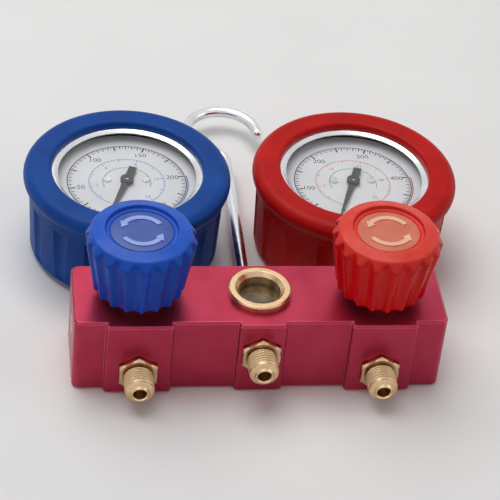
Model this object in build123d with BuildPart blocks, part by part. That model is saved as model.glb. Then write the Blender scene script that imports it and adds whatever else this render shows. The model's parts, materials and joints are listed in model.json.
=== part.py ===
from build123d import *
from math import acos, atan2, cos, degrees, pi, radians, sin, sqrt
import os

# Two-valve refrigerant manifold with two Bourdon gauges, lying on its back.
# X runs along the block with the low side at -X, +Y points to the hook, -Y to the hose ports,
# and +Z comes out of the dials.  The origin is the middle of the block's back face.
# All lengths are millimetres and all angles degrees.

# ---- clearances
fit = 0.03  # radial, threads and pressed pieces that don't turn
running = 0.05  # radial, shafts that turn in a bore
free_gap = 0.3  # between pieces of different bodies that pass each other

# ---- manifold block
block_length = 138.0
block_width = 33.0
block_height = 32.0
block_corner_radius = 3.0
block_edge_chamfer = 0.8
side_boss_width = 25.0
side_boss_depth = 2.5
centre_boss_width = 18.0
centre_boss_depth = 2.0
boss_corner_radius = 1.5
passage_radius = 2.5
line_height = 10.0  # of the hose ports and gauge stems of both sides
seat_wall = 2.0  # between the side passage and the valve seat
seat_hole_radius = 2.0
seat_lip = 1.0  # from the valve seat up to the cross gallery
plug_radius = 4.0
plug_length = 6.0
plug_socket_flats = 4.0
plug_socket_depth = 3.0

# ---- hose ports, 1/4 inch SAE male flare
port_thread_radius = 5.556
port_bore_radius = 2.4
port_nose_radius = 3.6
port_nose_length = 1.4
port_lead_chamfer = 0.6
port_length = 12.0  # from the boss face to the tip
port_hex_flats = 14.0
port_hex_length = 2.0
port_tail_radius = 4.9
port_tail_length = 8.0

# ---- valves
valve_lift = 3.0
chamber_radius = 5.0
bonnet_thread_radius = 7.0
bonnet_thread_length = 6.5
bonnet_hex_flats = 17.0
bonnet_hex_height = 4.2
bonnet_neck_radius = 6.0
bonnet_neck_height = 4.0
bonnet_seal_width = 1.9
bonnet_seal_thickness = 0.8
packing_radius = 4.5
packing_height = 5.0
packing_nut_flats = 14.0
packing_nut_height = 6.5
packing_nut_roof = 3.0
packing_nut_chamfer = 0.5
piston_length = 7.0
piston_socket_depth = 5.0
stem_pin_radius = 2.0
stem_thread_radius = 3.5
stem_thread_length = 7.0
stem_radius = 3.0
stem_square = 4.2
stem_square_length = 9.5

# ---- knobs
knob_top_radius = 20.5
knob_foot_radius = 17.0
knob_height = 26.5
knob_gap = 4.5  # under the closed knob
knob_rim_width = 7.2
knob_rim_slope = 1.2  # that the rim falls from the recess out to its edge
knob_rim_chamfer = 1.4
knob_cavity_radius = 12.5
knob_cavity_height = 12.0
knob_recess_depth = 1.4
knob_flutes = 18
knob_flute_radius = 2.4
knob_flute_depth = 1.3
knob_cap_margin = 1.8  # from the rim to the cap
knob_cap_thickness = 1.2
knob_screw_head_radius = 3.3
knob_screw_head_height = 2.2
knob_screw_radius = 1.25
knob_screw_length = 8.0

# ---- sight glass
sight_chamber_radius = 7.5
sight_thread_radius = 9.5
sight_ring_radius = 11.75
sight_ring_height = 3.0
sight_window_radius = 7.75
sight_bore_depth = 5.0
sight_glass_thickness = 1.8
sight_seal_thickness = 0.8
sight_floor_wall = 0.5  # below the cross gallery

# ---- hook
hook_wire_radius = 2.25
hook_height = 8.5
hook_neck_radius = 7.0
hook_loop_radius = 15.0
hook_tip_angle = 10.0
hook_tip_length = 3.0
hook_boot_gap = 2.5  # from the boots to the start of the loop
hook_head_radius = 3.6
hook_head_length = 2.6
bushing_radius = 4.5
bushing_length = 8.0
bushing_flange_radius = 6.0
bushing_flange_thickness = 2.0
bushing_pocket_depth = 11.5

# ---- gauges
boot_block_gap = 11.0
boots_gap = 9.0  # between the two boots, where the shank of the hook passes
boot_wall = 4.3  # at the foot of the boot
boot_flare = 1.0  # from the foot to the waist
boot_bead_proud = 2.2  # of the bead beyond the waist
boot_back = 2.5
boot_back_corner = 3.0
boot_lip_height = 2.5  # above the bezel
boot_lip_round = 1.5
boot_window_margin = 2.5  # of the bezel that shows inside the boot
boot_bead_round = 4.0
boot_bead_height = 8.5
boot_bead_under = 40.0  # how far round the bead goes below its widest line
boot_grooves = 16
boot_groove_radius = 6.0
boot_groove_depth = 0.7
case_radius = 33.0
case_wall = 1.0
case_depth = 30.5
case_corner = 1.5
case_flange_width = 0.9
case_flange_thickness = 0.8
lens_thickness = 1.8
bezel_front = 1.2
bezel_wall = 0.75
bezel_curl = 1.4
bezel_frame_width = 6.0  # from the case wall in to the window
bezel_slope = 1.4
dial_margin = 1.2  # from the dial to the case wall
dial_thickness = 0.8
dial_depth = 2.8  # from the underside of the lens to the dial
dial_hole_radius = 2.0
stem_square_flats = 13.0
gauge_stem_radius = 4.86
gauge_stem_length = 9.5
gauge_stem_gap = 2.0  # thread that shows behind the block
gauge_bore_radius = 1.5
socket_width = 16.0
socket_length = 17.0
socket_height = 12.5
case_screw_spacing = 9.0
case_screw_radius = 1.5
case_screw_head_radius = 2.6
case_screw_length = 6.5
case_screw_inset = 5.5  # from the side of the case in to the screws

# ---- Bourdon tube and movement
tube_margin = 6.4  # from the tube to the case wall
tube_height = 9.0
tube_thickness = 3.2
tube_wall = 0.5
tube_bevel = 0.3  # share of the tube's thickness
tube_middle = 10.5  # height of the middle of the tube
tube_tip_angle = -25.0
tube_start_angle = 259.0
tip_width = 4.2
tip_length = 2.5
tip_foot = 1.0  # that the tip hangs below the tube
plate_thickness = 1.2
plate_width = 19.0
plate_top = 5.0
plate_bottom = -22.0
plate_corner = 3.0
plate_spacing = 5.6
pillar_radius = 1.3
pillar_column = 7.5
pillar_row = 1.5
foot_pillar = (-6.5, -19.0)
post_hole_radius = 0.8
dial_screw_length = 3.2
dial_screw_head_radius = 1.6
dial_screw_head_height = 0.6
gear_module = 0.3
tooth_tip = 0.8  # modules above the pitch circle
tooth_root = 1.15  # modules below the pitch circle
tooth_tip_half = 0.1  # half widths of a tooth, in pitches
tooth_pitch_half = 0.21
tooth_root_half = 0.29
pinion_teeth = 12
gear_ratio = 8  # turns of the pointer for one of the sector
sector_teeth = 14
sector_lead_teeth = 2  # teeth on the low-pressure side of the meshing one
sector_thickness = 1.4
sector_rise = 1.2  # above the lower plate
sector_hub_radius = 2.5
sector_rim = 1.6
sector_spoke = 1.6
tail_length = 8.0
tail_angle = -60.0
tail_width = 3.0
link_thickness = 0.6
link_width = 2.4
link_pin_radius = 0.5
arbor_radius = 0.7
pinion_height = 2.6
collet_radius = 1.3
hairspring_height = 1.0
hairspring_strip = 0.2
hairspring_step = 0.4
hairspring_half_turns = 9
hairspring_start = 1.8
pointer_length = 23.5
pointer_tail = 8.5
pointer_tail_width = 3.2
pointer_root_width = 2.8
pointer_tip_width = 0.5
pointer_thickness = 0.4
pointer_hub_radius = 2.6
pointer_hub_height = 1.4
pointer_rise = 0.7  # of the hub above the dial
pointer_zero = 250.0  # direction of the needle at no pressure, 7 o'clock

# ---- places worked out from the sizes above
back_face = block_width / 2
boot_foot_radius = case_radius + boot_wall
boot_waist_radius = boot_foot_radius + boot_flare
boot_radius = boot_waist_radius + boot_bead_proud
bezel_window_radius = case_radius - bezel_frame_width
boot_window_radius = bezel_window_radius + boot_window_margin
dial_radius = case_radius - case_wall - dial_margin
knob_cap_radius = knob_top_radius - knob_rim_width - knob_cap_margin
case_screw_row = case_radius - case_screw_inset
tube_arc_radius = case_radius - case_wall - tube_margin - tube_thickness / 2
gauge_distance = back_face + boot_block_gap + boot_radius
station_spacing = 2 * boot_radius + boots_gap
stations = {"low": -station_spacing / 2, "high": station_spacing / 2}
side_boss_face = -block_width / 2 - side_boss_depth
centre_boss_face = -block_width / 2 - centre_boss_depth
seat_height = line_height + passage_radius + seat_wall
gallery_height = seat_height + seat_lip + passage_radius
bonnet_bottom = block_height - bonnet_thread_length
bonnet_hex_bottom = block_height + bonnet_seal_thickness
bonnet_hex_top = bonnet_hex_bottom + bonnet_hex_height
bonnet_top = bonnet_hex_top + bonnet_neck_height
packing_top = bonnet_top + free_gap
packing_floor = packing_top - packing_height
knob_bottom = block_height + knob_gap
knob_top = knob_bottom + knob_height
knob_ceiling = knob_bottom + knob_cavity_height
knob_ledge = knob_ceiling + stem_square_length - 2 * free_gap
stem_top = knob_ledge - free_gap
stem_shoulder = stem_top - stem_square_length
stem_thread_bottom = bonnet_bottom + free_gap
stem_pin_bottom = seat_height + piston_length - piston_socket_depth
glass_seat_height = block_height - sight_bore_depth
sight_floor = gallery_height - passage_radius - sight_floor_wall
case_front = boot_back + case_depth
bezel_back = case_front + lens_thickness
bezel_top = bezel_back + bezel_front
bezel_radius = case_radius + case_flange_width + bezel_wall + fit
boot_top = bezel_top + boot_lip_height
case_floor = boot_back + case_wall
socket_top = case_floor + socket_height
neck_end = back_face + gauge_stem_gap
lower_plate_top = socket_top + plate_thickness
upper_plate_bottom = lower_plate_top + plate_spacing
upper_plate_top = upper_plate_bottom + plate_thickness
dial_top = case_front - dial_depth
dial_bottom = dial_top - dial_thickness
pinion_pitch_radius = gear_module * pinion_teeth / 2
sector_pitch_radius = pinion_pitch_radius * gear_ratio
sector_pivot_y = -(pinion_pitch_radius + sector_pitch_radius)
sector_bottom = lower_plate_top + sector_rise
sector_top = sector_bottom + sector_thickness
link_bottom = lower_plate_top + free_gap
hairspring_bottom = upper_plate_bottom - free_gap - hairspring_height


def level(x, y, z):
    """Horizontal plane at a height, with its origin on an upright axis."""
    return Plane(origin=(x, y, z))


def section(x, y):
    """Upright plane through an upright axis: local x is the radius and local y the height."""
    return Plane(origin=(x, y, 0), x_dir=(1, 0, 0), z_dir=(0, -1, 0))


def facing(x, y, z, out):
    """Plane on a face of the block, whose normal points out of the block."""
    return Plane(origin=(x, y, z), x_dir=(0, 0, 1) if out[0] else (1, 0, 0), z_dir=out)


def turn(plane, outline, mode=Mode.ADD):
    """Turn a closed outline of (radius, height) points about the local y axis of a plane."""
    with BuildSketch(plane) as profile:
        with BuildLine():
            Polyline(*outline, close=True)
        make_face()
    revolve(profile.sketch, axis=Axis(plane.origin, plane.y_dir), mode=mode)


def save(piece, name):
    """Label a finished piece and write it as its own node."""
    piece.part.label = name
    export_step(piece.part, f"parts/{name}.step")


def make_manifold_body():
    """Block with its bosses, the drillings of both valves, the cross gallery and the sight chamber."""
    with BuildPart() as manifold_body:
        with BuildSketch() as outline:
            Rectangle(block_length, block_width)
            with Locations(*[(x, -back_face) for x in stations.values()]):
                Rectangle(side_boss_width, 2 * side_boss_depth)
            with Locations((0, -back_face)):
                Rectangle(centre_boss_width, 2 * centre_boss_depth)
            rows = outline.vertices().group_by(Axis.Y)
            fillet(rows[0] + rows[1], boss_corner_radius)
            columns = outline.vertices().group_by(Axis.X)
            fillet(columns[0] + columns[-1], block_corner_radius)
        extrude(amount=block_height)
        faces = manifold_body.faces().sort_by(Axis.Z)
        chamfer(faces[0].edges() + faces[-1].edges(), block_edge_chamfer)

        for x in stations.values():
            with Locations(facing(x, side_boss_face, line_height, (0, -1, 0))):
                CounterBoreHole(
                    radius=passage_radius,
                    counter_bore_radius=port_tail_radius + fit,
                    counter_bore_depth=port_tail_length + free_gap,
                    depth=block_width / 2 + side_boss_depth,
                )
            with Locations(facing(x, back_face, line_height, (0, 1, 0))):
                CounterBoreHole(
                    radius=passage_radius,
                    counter_bore_radius=gauge_stem_radius + fit,
                    counter_bore_depth=gauge_stem_length + free_gap,
                    depth=block_width / 2,
                )
            with Locations(level(x, 0, block_height)):
                CounterBoreHole(
                    radius=chamber_radius,
                    counter_bore_radius=bonnet_thread_radius + fit,
                    counter_bore_depth=bonnet_thread_length,
                    depth=block_height - seat_height,
                )
                Hole(radius=seat_hole_radius, depth=block_height - line_height)
        for out in (-1, 1):
            with Locations(facing(out * block_length / 2, 0, gallery_height, (out, 0, 0))):
                CounterBoreHole(
                    radius=passage_radius,
                    counter_bore_radius=plug_radius + fit,
                    counter_bore_depth=plug_length,
                    depth=block_length / 2,
                )
        with Locations(level(0, 0, block_height)):
            CounterBoreHole(
                radius=sight_chamber_radius,
                counter_bore_radius=sight_thread_radius + fit,
                counter_bore_depth=sight_bore_depth,
                depth=block_height - sight_floor,
            )
        with Locations(facing(0, centre_boss_face, gallery_height, (0, -1, 0))):
            CounterBoreHole(
                radius=passage_radius,
                counter_bore_radius=port_tail_radius + fit,
                counter_bore_depth=port_tail_length + free_gap,
                depth=block_width / 2 + centre_boss_depth,
            )
        with Locations(facing(0, back_face, hook_height, (0, 1, 0))):
            Hole(radius=bushing_radius + fit, depth=bushing_pocket_depth)
    save(manifold_body, "manifold_body")


def make_end_plugs():
    """Socket plugs that close both ends of the cross gallery."""
    with BuildPart() as end_plugs:
        for out in (-1, 1):
            face = facing(out * block_length / 2, 0, gallery_height, (out, 0, 0))
            with BuildSketch(face):
                Circle(plug_radius)
            extrude(amount=-plug_length)
            with BuildSketch(face):
                RegularPolygon(plug_socket_flats / 2, 6, major_radius=False)
            extrude(amount=-plug_socket_depth, mode=Mode.SUBTRACT)
    save(end_plugs, "end_plugs")


def make_port(name, x, face_y, z):
    """Hose port: tail in the block, hexagon on the boss, thread and 45 degree flare nose."""
    thread_end = port_length - port_nose_length - port_lead_chamfer
    along = Plane(origin=(x, face_y, z), x_dir=(1, 0, 0), z_dir=(0, 0, -1))
    with BuildPart() as port:
        with BuildSketch(facing(x, face_y, z, (0, -1, 0))):
            RegularPolygon(port_hex_flats / 2, 6, major_radius=False)
        extrude(amount=port_hex_length)
        turn(
            along,
            [
                (0, -port_tail_length),
                (port_tail_radius, -port_tail_length),
                (port_tail_radius, 0),
                (port_thread_radius, 0),
                (port_thread_radius, thread_end),
                (port_thread_radius - port_lead_chamfer, thread_end + port_lead_chamfer),
                (port_nose_radius, port_length),
                (0, port_length),
            ],
        )
        with Locations(facing(x, face_y - port_length, z, (0, -1, 0))):
            Hole(radius=port_bore_radius)
    save(port, name)


def make_sight_glass():
    """Brass ring, window and gasket of the sight glass in the middle of the block."""
    seal_top = glass_seat_height + sight_seal_thickness
    glass_top = seal_top + sight_glass_thickness
    ring_top = block_height + sight_ring_height
    edge = 0.2 * sight_ring_height
    bevel = sight_ring_height / 2
    with BuildPart() as sight_glass_ring:
        turn(
            section(0, 0),
            [
                (sight_window_radius, glass_top),
                (sight_thread_radius, glass_top),
                (sight_thread_radius, block_height),
                (sight_ring_radius, block_height),
                (sight_ring_radius, ring_top - edge),
                (sight_ring_radius - edge, ring_top),
                (sight_window_radius + bevel, ring_top),
                (sight_window_radius, ring_top - bevel),
            ],
        )
    save(sight_glass_ring, "sight_glass_ring")

    with BuildPart() as sight_glass:
        with BuildSketch(level(0, 0, seal_top)):
            Circle(sight_thread_radius - 2 * fit)
        extrude(amount=sight_glass_thickness)
    save(sight_glass, "sight_glass")

    with BuildPart() as sight_glass_seal:
        with BuildSketch(level(0, 0, glass_seat_height)):
            Circle(sight_thread_radius - 2 * fit)
            Circle(sight_chamber_radius, mode=Mode.SUBTRACT)
        extrude(amount=sight_seal_thickness)
    save(sight_glass_seal, "sight_glass_seal")


def make_hook():
    """Swivel hook of round wire, with the bushing that holds it in the block."""
    along = Plane(origin=(0, back_face, hook_height), x_dir=(1, 0, 0), z_dir=(0, 0, 1))
    with BuildPart() as hook_bushing:
        turn(
            along,
            [
                (hook_wire_radius + running, -bushing_length),
                (bushing_radius, -bushing_length),
                (bushing_radius, 0),
                (bushing_flange_radius, 0),
                (bushing_flange_radius, bushing_flange_thickness),
                (hook_wire_radius + running, bushing_flange_thickness),
            ],
        )
    save(hook_bushing, "hook_bushing")

    head_end = back_face - bushing_length - free_gap - hook_head_length
    loop_start = gauge_distance + boot_radius + hook_boot_gap
    bend = degrees(acos(hook_neck_radius / (hook_neck_radius + hook_loop_radius)))
    loop_centre = loop_start + (hook_neck_radius + hook_loop_radius) * sin(radians(bend))
    loop_sweep = 180 + bend - hook_tip_angle
    wire_plane = Plane.XY.offset(hook_height)
    with BuildPart() as hook:
        with BuildLine(wire_plane) as wire:
            shank = Line((0, head_end), (0, loop_start))
            neck = CenterArc((-hook_neck_radius, loop_start), hook_neck_radius, 0, bend)
            loop = CenterArc((0, loop_centre), hook_loop_radius, 180 + bend, -loop_sweep)
            Line(loop @ 1, loop @ 1 + (loop % 1) * hook_tip_length)
        with BuildSketch(facing(0, head_end, hook_height, (0, 1, 0))):
            Circle(hook_wire_radius)
        sweep(path=wire.line)
        with BuildSketch(facing(0, head_end, hook_height, (0, 1, 0))):
            Circle(hook_head_radius)
        extrude(amount=hook_head_length)
        tip = wire.line @ 1
        with Locations((tip.X, tip.Y, tip.Z)):
            Sphere(hook_wire_radius)
    save(hook, "hook")


def make_bonnet(side, x):
    """Valve bonnet, screwed into the block, with its packing chamber open at the top."""
    bore = stem_thread_radius + running
    with BuildPart() as bonnet:
        with BuildSketch(level(x, 0, bonnet_hex_bottom)):
            RegularPolygon(bonnet_hex_flats / 2, 6, major_radius=False)
        extrude(amount=bonnet_hex_height)
        turn(
            section(x, 0),
            [
                (0, bonnet_bottom),
                (bonnet_thread_radius, bonnet_bottom),
                (bonnet_thread_radius, bonnet_hex_top),
                (bonnet_neck_radius, bonnet_hex_top),
                (bonnet_neck_radius, bonnet_top),
                (0, bonnet_top),
            ],
        )
        with Locations(level(x, 0, bonnet_top)):
            CounterBoreHole(
                radius=bore,
                counter_bore_radius=packing_radius + fit,
                counter_bore_depth=bonnet_top - packing_floor,
            )
    save(bonnet, f"{side}_bonnet")


def make_packing_nut(side, x):
    """Gland nut over the neck of the bonnet."""
    bottom = packing_top + packing_nut_roof - packing_nut_height
    with BuildPart() as packing_nut:
        with BuildSketch(level(x, 0, bottom)):
            RegularPolygon(packing_nut_flats / 2, 6, major_radius=False)
        extrude(amount=packing_nut_height)
        chamfer(packing_nut.faces().sort_by(Axis.Z)[-1].edges(), packing_nut_chamfer)
        with Locations(level(x, 0, bottom)):
            Cylinder(
                bonnet_neck_radius + fit,
                packing_top - bottom,
                align=(Align.CENTER, Align.CENTER, Align.MIN),
                mode=Mode.SUBTRACT,
            )
        with Locations(level(x, 0, packing_top + packing_nut_roof)):
            Hole(radius=stem_radius + 2 * running)
    save(packing_nut, f"{side}_packing_nut")


def make_valve_stem(side, x):
    """Stem: pin in the piston, lifting thread in the bonnet, plain shaft and square for the knob."""
    with BuildPart() as valve_stem:
        turn(
            section(x, 0),
            [
                (0, stem_pin_bottom + running),
                (stem_pin_radius, stem_pin_bottom + running),
                (stem_pin_radius, stem_thread_bottom),
                (stem_thread_radius, stem_thread_bottom),
                (stem_thread_radius, stem_thread_bottom + stem_thread_length),
                (stem_radius, stem_thread_bottom + stem_thread_length),
                (stem_radius, stem_shoulder),
                (0, stem_shoulder),
            ],
        )
        with BuildSketch(level(x, 0, stem_shoulder)):
            Rectangle(stem_square, stem_square)
        extrude(amount=stem_square_length)
        with Locations(level(x, 0, stem_top)):
            Hole(radius=knob_screw_radius + fit, depth=knob_screw_length)
    save(valve_stem, f"{side}_valve_stem")


def make_piston(side, x):
    """Seat piston on the end of the stem, which closes the hole to the side passage."""
    with BuildPart() as piston:
        with BuildSketch(level(x, 0, seat_height)):
            Circle(chamber_radius - free_gap)
        extrude(amount=piston_length)
        with Locations(level(x, 0, seat_height + piston_length)):
            Hole(radius=stem_pin_radius + running, depth=piston_socket_depth)
    save(piston, f"{side}_seat_piston")


def make_knob(side, x):
    """Fluted hand knob: it widens upwards, is hollow below and carries a cap in its top."""
    rim_edge = knob_top - knob_rim_slope
    recess_floor = knob_top - knob_recess_depth
    cap_floor = recess_floor - knob_cap_thickness
    side_slope = atan2(knob_top_radius - knob_foot_radius, knob_height)
    cutter_offset = knob_flute_radius - knob_flute_depth
    cutter_length = 1.5 * knob_height
    with BuildPart() as knob:
        turn(
            section(x, 0),
            [
                (knob_cavity_radius, knob_bottom),
                (knob_foot_radius, knob_bottom),
                (knob_top_radius, rim_edge - knob_rim_chamfer),
                (knob_top_radius - knob_rim_chamfer, rim_edge),
                (knob_top_radius - knob_rim_width, knob_top),
                (knob_top_radius - knob_rim_width - knob_recess_depth / 2, recess_floor),
                (knob_cap_radius + fit, recess_floor),
                (knob_cap_radius + fit, cap_floor),
                (knob_screw_head_radius + free_gap, cap_floor),
                (knob_screw_head_radius + free_gap, knob_ledge),
                (0, knob_ledge),
                (0, knob_ceiling),
                (knob_cavity_radius, knob_ceiling),
            ],
        )
        for index in range(knob_flutes):
            turned = radians(360 * index / knob_flutes)
            outward = Vector(cos(turned), sin(turned), 0)
            slope = outward * sin(side_slope) + Vector(0, 0, cos(side_slope))
            foot = Vector(x, 0, knob_bottom) + outward * (knob_foot_radius + cutter_offset)
            start = foot - slope * (cutter_length - knob_height) / 2
            with BuildSketch(Plane(origin=start, z_dir=slope)):
                Circle(knob_flute_radius)
            extrude(amount=cutter_length, mode=Mode.SUBTRACT)
        with BuildSketch(level(x, 0, knob_ceiling)):
            Rectangle(stem_square + 2 * fit, stem_square + 2 * fit)
        extrude(amount=knob_ledge - knob_ceiling, mode=Mode.SUBTRACT)
    save(knob, f"{side}_knob")

    with BuildPart() as knob_cap:
        with BuildSketch(level(x, 0, cap_floor)):
            Circle(knob_cap_radius)
        extrude(amount=knob_cap_thickness)
        chamfer(knob_cap.faces().sort_by(Axis.Z)[-1].edges(), knob_cap_thickness / 4)
    save(knob_cap, f"{side}_knob_cap")

    with BuildPart() as knob_screw:
        turn(
            section(x, 0),
            [
                (0, knob_ledge - knob_screw_length),
                (knob_screw_radius, knob_ledge - knob_screw_length),
                (knob_screw_radius, knob_ledge),
                (knob_screw_head_radius, knob_ledge),
                (knob_screw_head_radius, knob_ledge + knob_screw_head_height),
                (0, knob_ledge + knob_screw_head_height),
            ],
        )
        with BuildSketch(level(x, 0, knob_ledge + knob_screw_head_height)):
            Rectangle(2 * knob_screw_head_radius, knob_screw_head_height / 3)
        extrude(amount=-knob_screw_head_height / 2, mode=Mode.SUBTRACT)
    save(knob_screw, f"{side}_knob_screw")


def make_valve_seals():
    """Washers under both bonnets and the packing round both stems."""
    with BuildPart() as bonnet_seals:
        with BuildSketch(level(0, 0, block_height)):
            with Locations(*[(x, 0) for x in stations.values()]):
                Circle(bonnet_thread_radius + bonnet_seal_width)
                Circle(bonnet_thread_radius + fit, mode=Mode.SUBTRACT)
        extrude(amount=bonnet_seal_thickness)
    save(bonnet_seals, "bonnet_seals")

    with BuildPart() as stem_packings:
        with BuildSketch(level(0, 0, packing_floor)):
            with Locations(*[(x, 0) for x in stations.values()]):
                Circle(packing_radius)
                Circle(stem_radius + running, mode=Mode.SUBTRACT)
        extrude(amount=packing_height)
    save(stem_packings, "stem_packings")


def make_gauge_shells(side, x):
    """Pressed case, crimped bezel, lens and rubber boot of one gauge."""
    middle = gauge_distance
    flange_radius = case_radius + case_flange_width
    window_half = stem_square_flats / 2 + fit
    window_top = line_height + window_half
    with BuildPart() as gauge_case:
        turn(
            section(x, middle),
            [
                (0, boot_back),
                (case_radius - case_corner, boot_back),
                (case_radius, boot_back + case_corner),
                (case_radius, case_front - case_flange_thickness),
                (flange_radius, case_front - case_flange_thickness),
                (flange_radius, case_front),
                (case_radius - case_wall, case_front),
                (case_radius - case_wall, case_floor + case_corner),
                (case_radius - case_wall - case_corner, case_floor),
                (0, case_floor),
            ],
        )
        with BuildSketch(facing(x, middle - case_radius + case_corner, 0, (0, -1, 0))):
            with Locations((0, (case_floor + window_top) / 2)):
                Rectangle(2 * window_half, window_top - case_floor)
        extrude(amount=-3 * case_corner, both=True, mode=Mode.SUBTRACT)
        for step in (-0.5, 0.5):
            turn(
                section(x + step * case_screw_spacing, middle - case_screw_row),
                [
                    (0, boot_back),
                    (case_screw_head_radius + fit, boot_back),
                    (case_screw_radius + fit, case_floor),
                    (0, case_floor),
                ],
                mode=Mode.SUBTRACT,
            )
    save(gauge_case, f"{side}_gauge_case")

    with BuildPart() as gauge_bezel:
        turn(
            section(x, middle),
            [
                (case_radius + fit, case_front - bezel_curl - case_flange_thickness),
                (bezel_radius, case_front - bezel_curl - case_flange_thickness),
                (bezel_radius, bezel_top - bezel_wall),
                (bezel_radius - bezel_wall, bezel_top),
                (bezel_window_radius + bezel_slope, bezel_top),
                (bezel_window_radius, bezel_top - 0.7 * bezel_front),
                (bezel_window_radius, bezel_back),
                (flange_radius + fit, bezel_back),
                (flange_radius + fit, case_front - case_flange_thickness - fit),
                (case_radius + fit, case_front - case_flange_thickness - fit),
            ],
        )
    save(gauge_bezel, f"{side}_gauge_bezel")

    with BuildPart() as gauge_lens:
        with BuildSketch(level(x, middle, case_front)):
            Circle(flange_radius)
        extrude(amount=lens_thickness)
    save(gauge_lens, f"{side}_gauge_lens")

    bead_bottom = boot_top - boot_bead_height
    shelf = case_front - bezel_curl - case_flange_thickness - fit
    with BuildPart() as gauge_boot:
        with BuildSketch(section(x, middle)):
            with BuildLine():
                Polyline(
                    (boot_waist_radius, bead_bottom),
                    (boot_foot_radius, boot_back_corner),
                    (boot_foot_radius - boot_back_corner, 0),
                    (0, 0),
                    (0, boot_back),
                    (case_radius + fit, boot_back),
                    (case_radius + fit, shelf),
                    (bezel_radius + fit, shelf),
                    (bezel_radius + fit, bezel_top),
                    (boot_window_radius, bezel_top),
                    (boot_window_radius, boot_top - boot_lip_round),
                )
                lip = CenterArc(
                    (boot_window_radius + boot_lip_round, boot_top - boot_lip_round),
                    boot_lip_round,
                    180,
                    -90,
                )
                bead = CenterArc(
                    (boot_radius - boot_bead_round, boot_top - boot_bead_round),
                    boot_bead_round,
                    90,
                    -90 - boot_bead_under,
                )
                Line(lip @ 1, bead @ 0)
                Line(bead @ 1, (boot_waist_radius, bead_bottom))
            make_face()
        revolve(axis=Axis((x, middle, 0), (0, 0, 1)))
        with BuildSketch(level(x, middle, boot_back_corner)):
            with PolarLocations(boot_foot_radius + boot_groove_radius - boot_groove_depth, boot_grooves):
                Circle(boot_groove_radius)
        extrude(amount=bead_bottom - 2 * boot_back_corner, mode=Mode.SUBTRACT)
        with BuildSketch(facing(x, middle - boot_radius, 0, (0, -1, 0))):
            with Locations((0, (boot_back + window_top) / 2)):
                Rectangle(2 * window_half, window_top - boot_back)
        extrude(amount=-2 * (boot_radius - case_radius), mode=Mode.SUBTRACT)
    save(gauge_boot, f"{side}_gauge_boot")


def flat_tube(thickness, mode=Mode.ADD):
    """Section of the flattened tube or of its bore, bevelled, in a plane through the gauge axis."""
    with BuildSketch(mode=Mode.PRIVATE) as oval:
        with Locations((tube_arc_radius, tube_middle)):
            Rectangle(thickness, tube_height - tube_thickness + thickness)
        chamfer(oval.vertices(), thickness * tube_bevel)
    add(oval.sketch, mode=mode)


def make_gauge_socket(side, x):
    """Brass socket: stem in the block, wrench square, and the seat of the tube inside the case."""
    middle = gauge_distance
    inner_end = middle - sqrt((case_radius - case_wall - case_corner) ** 2 - (socket_width / 2) ** 2)
    block_end = inner_end + socket_length
    with BuildPart() as gauge_socket:
        with BuildSketch(level(x, (inner_end + block_end) / 2, case_floor)):
            Rectangle(socket_width, socket_length)
        extrude(amount=socket_height)
        with BuildSketch(facing(x, neck_end, line_height, (0, -1, 0))):
            Rectangle(stem_square_flats, stem_square_flats)
        extrude(amount=neck_end - inner_end)
        with BuildSketch(facing(x, neck_end, line_height, (0, -1, 0))):
            Circle(gauge_stem_radius)
        extrude(amount=gauge_stem_gap + gauge_stem_length)
        with Locations(facing(x, back_face - gauge_stem_length, line_height, (0, -1, 0))):
            Hole(radius=gauge_bore_radius, depth=middle - tube_arc_radius - back_face + gauge_stem_length)
        start = Plane(origin=(x, middle, 0), x_dir=(0, -1, 0), z_dir=(-1, 0, 0))
        with BuildSketch(start):
            flat_tube(tube_thickness + 2 * fit)
        revolve(
            axis=Axis((x, middle, 0), (0, 0, -1)),
            revolution_arc=270 - tube_start_angle + 3 * socket_width,
            mode=Mode.SUBTRACT,
        )
        for step in (-0.5, 0.5):
            with Locations(
                Plane(
                    origin=(x + step * case_screw_spacing, middle - case_screw_row, case_floor),
                    z_dir=(0, 0, -1),
                )
            ):
                Hole(radius=case_screw_radius + fit, depth=case_screw_length)
    save(gauge_socket, f"{side}_gauge_socket")


def make_bourdon_tube(side, x):
    """Flattened C tube from the socket round to the closed tip that pulls the link."""
    middle = gauge_distance
    turned = radians(tube_tip_angle)
    end = Plane(
        origin=(x, middle, 0),
        x_dir=(cos(turned), sin(turned), 0),
        z_dir=(sin(turned), -cos(turned), 0),
    )
    with BuildPart() as bourdon_tube:
        with BuildSketch(end):
            flat_tube(tube_thickness)
            flat_tube(tube_thickness - 2 * tube_wall, mode=Mode.SUBTRACT)
        revolve(
            axis=Axis((x, middle, 0), (0, 0, 1)),
            revolution_arc=tube_start_angle - tube_tip_angle,
        )
    save(bourdon_tube, f"{side}_bourdon_tube")

    tip_bottom = tube_middle - tube_height / 2 - tip_foot
    tip_top = link_bottom - free_gap
    with BuildPart() as tube_tip:
        with BuildSketch(end):
            with Locations((tube_arc_radius, (tip_bottom + tip_top) / 2)):
                Rectangle(tip_width, tip_top - tip_bottom)
        extrude(amount=tip_length)
        chamfer(tube_tip.edges().filter_by(Axis.Z), tube_wall)
    save(tube_tip, f"{side}_tube_tip")


def plate_outline(middle):
    """Outline of both movement plates, with the bores of the two arbors."""
    with Locations((0, middle + (plate_top + plate_bottom) / 2)):
        RectangleRounded(plate_width, plate_top - plate_bottom, plate_corner)
    with Locations((0, middle), (0, middle + sector_pivot_y)):
        Circle(arbor_radius + running, mode=Mode.SUBTRACT)


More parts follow.
